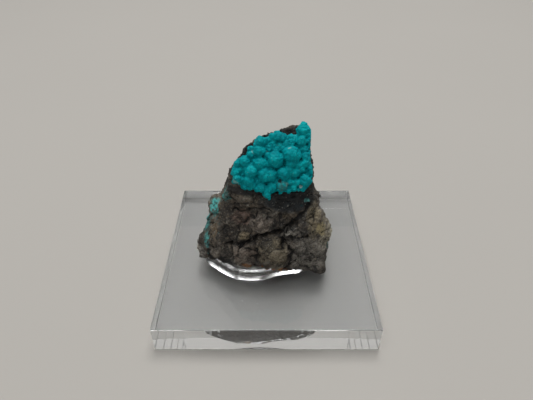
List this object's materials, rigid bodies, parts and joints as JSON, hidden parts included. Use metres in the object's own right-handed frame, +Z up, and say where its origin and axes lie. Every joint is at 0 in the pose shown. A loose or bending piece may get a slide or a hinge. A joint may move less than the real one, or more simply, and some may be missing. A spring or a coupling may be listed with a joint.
{
  "type": "chrysocolla mineral specimen on a clear base",
  "caption": "Turquoise crust of rounded lumps on a broken piece of dark matrix rock, held by clear adhesive on a square clear slab.",
  "frame": {"origin": "middle of the slab's flat underside", "axes": "+Z up; -Y is the side the crust faces; +X to the right as seen from the front"},
  "size_m": [0.0444, 0.0444, 0.0371],
  "materials": {
    "acrylic": "clear polished acrylic",
    "adhesive": "clear glossy adhesive",
    "rock": "rough broken rock, brown, black and tan",
    "chrysocolla": "turquoise, fine velvety grain"
  },
  "bodies": {
    "root": {"acrylic_slab": "acrylic", "adhesive_bed": "adhesive", "matrix_rock": "rock", "chrysocolla_crust": "chrysocolla"}
  },
  "joints": []
}
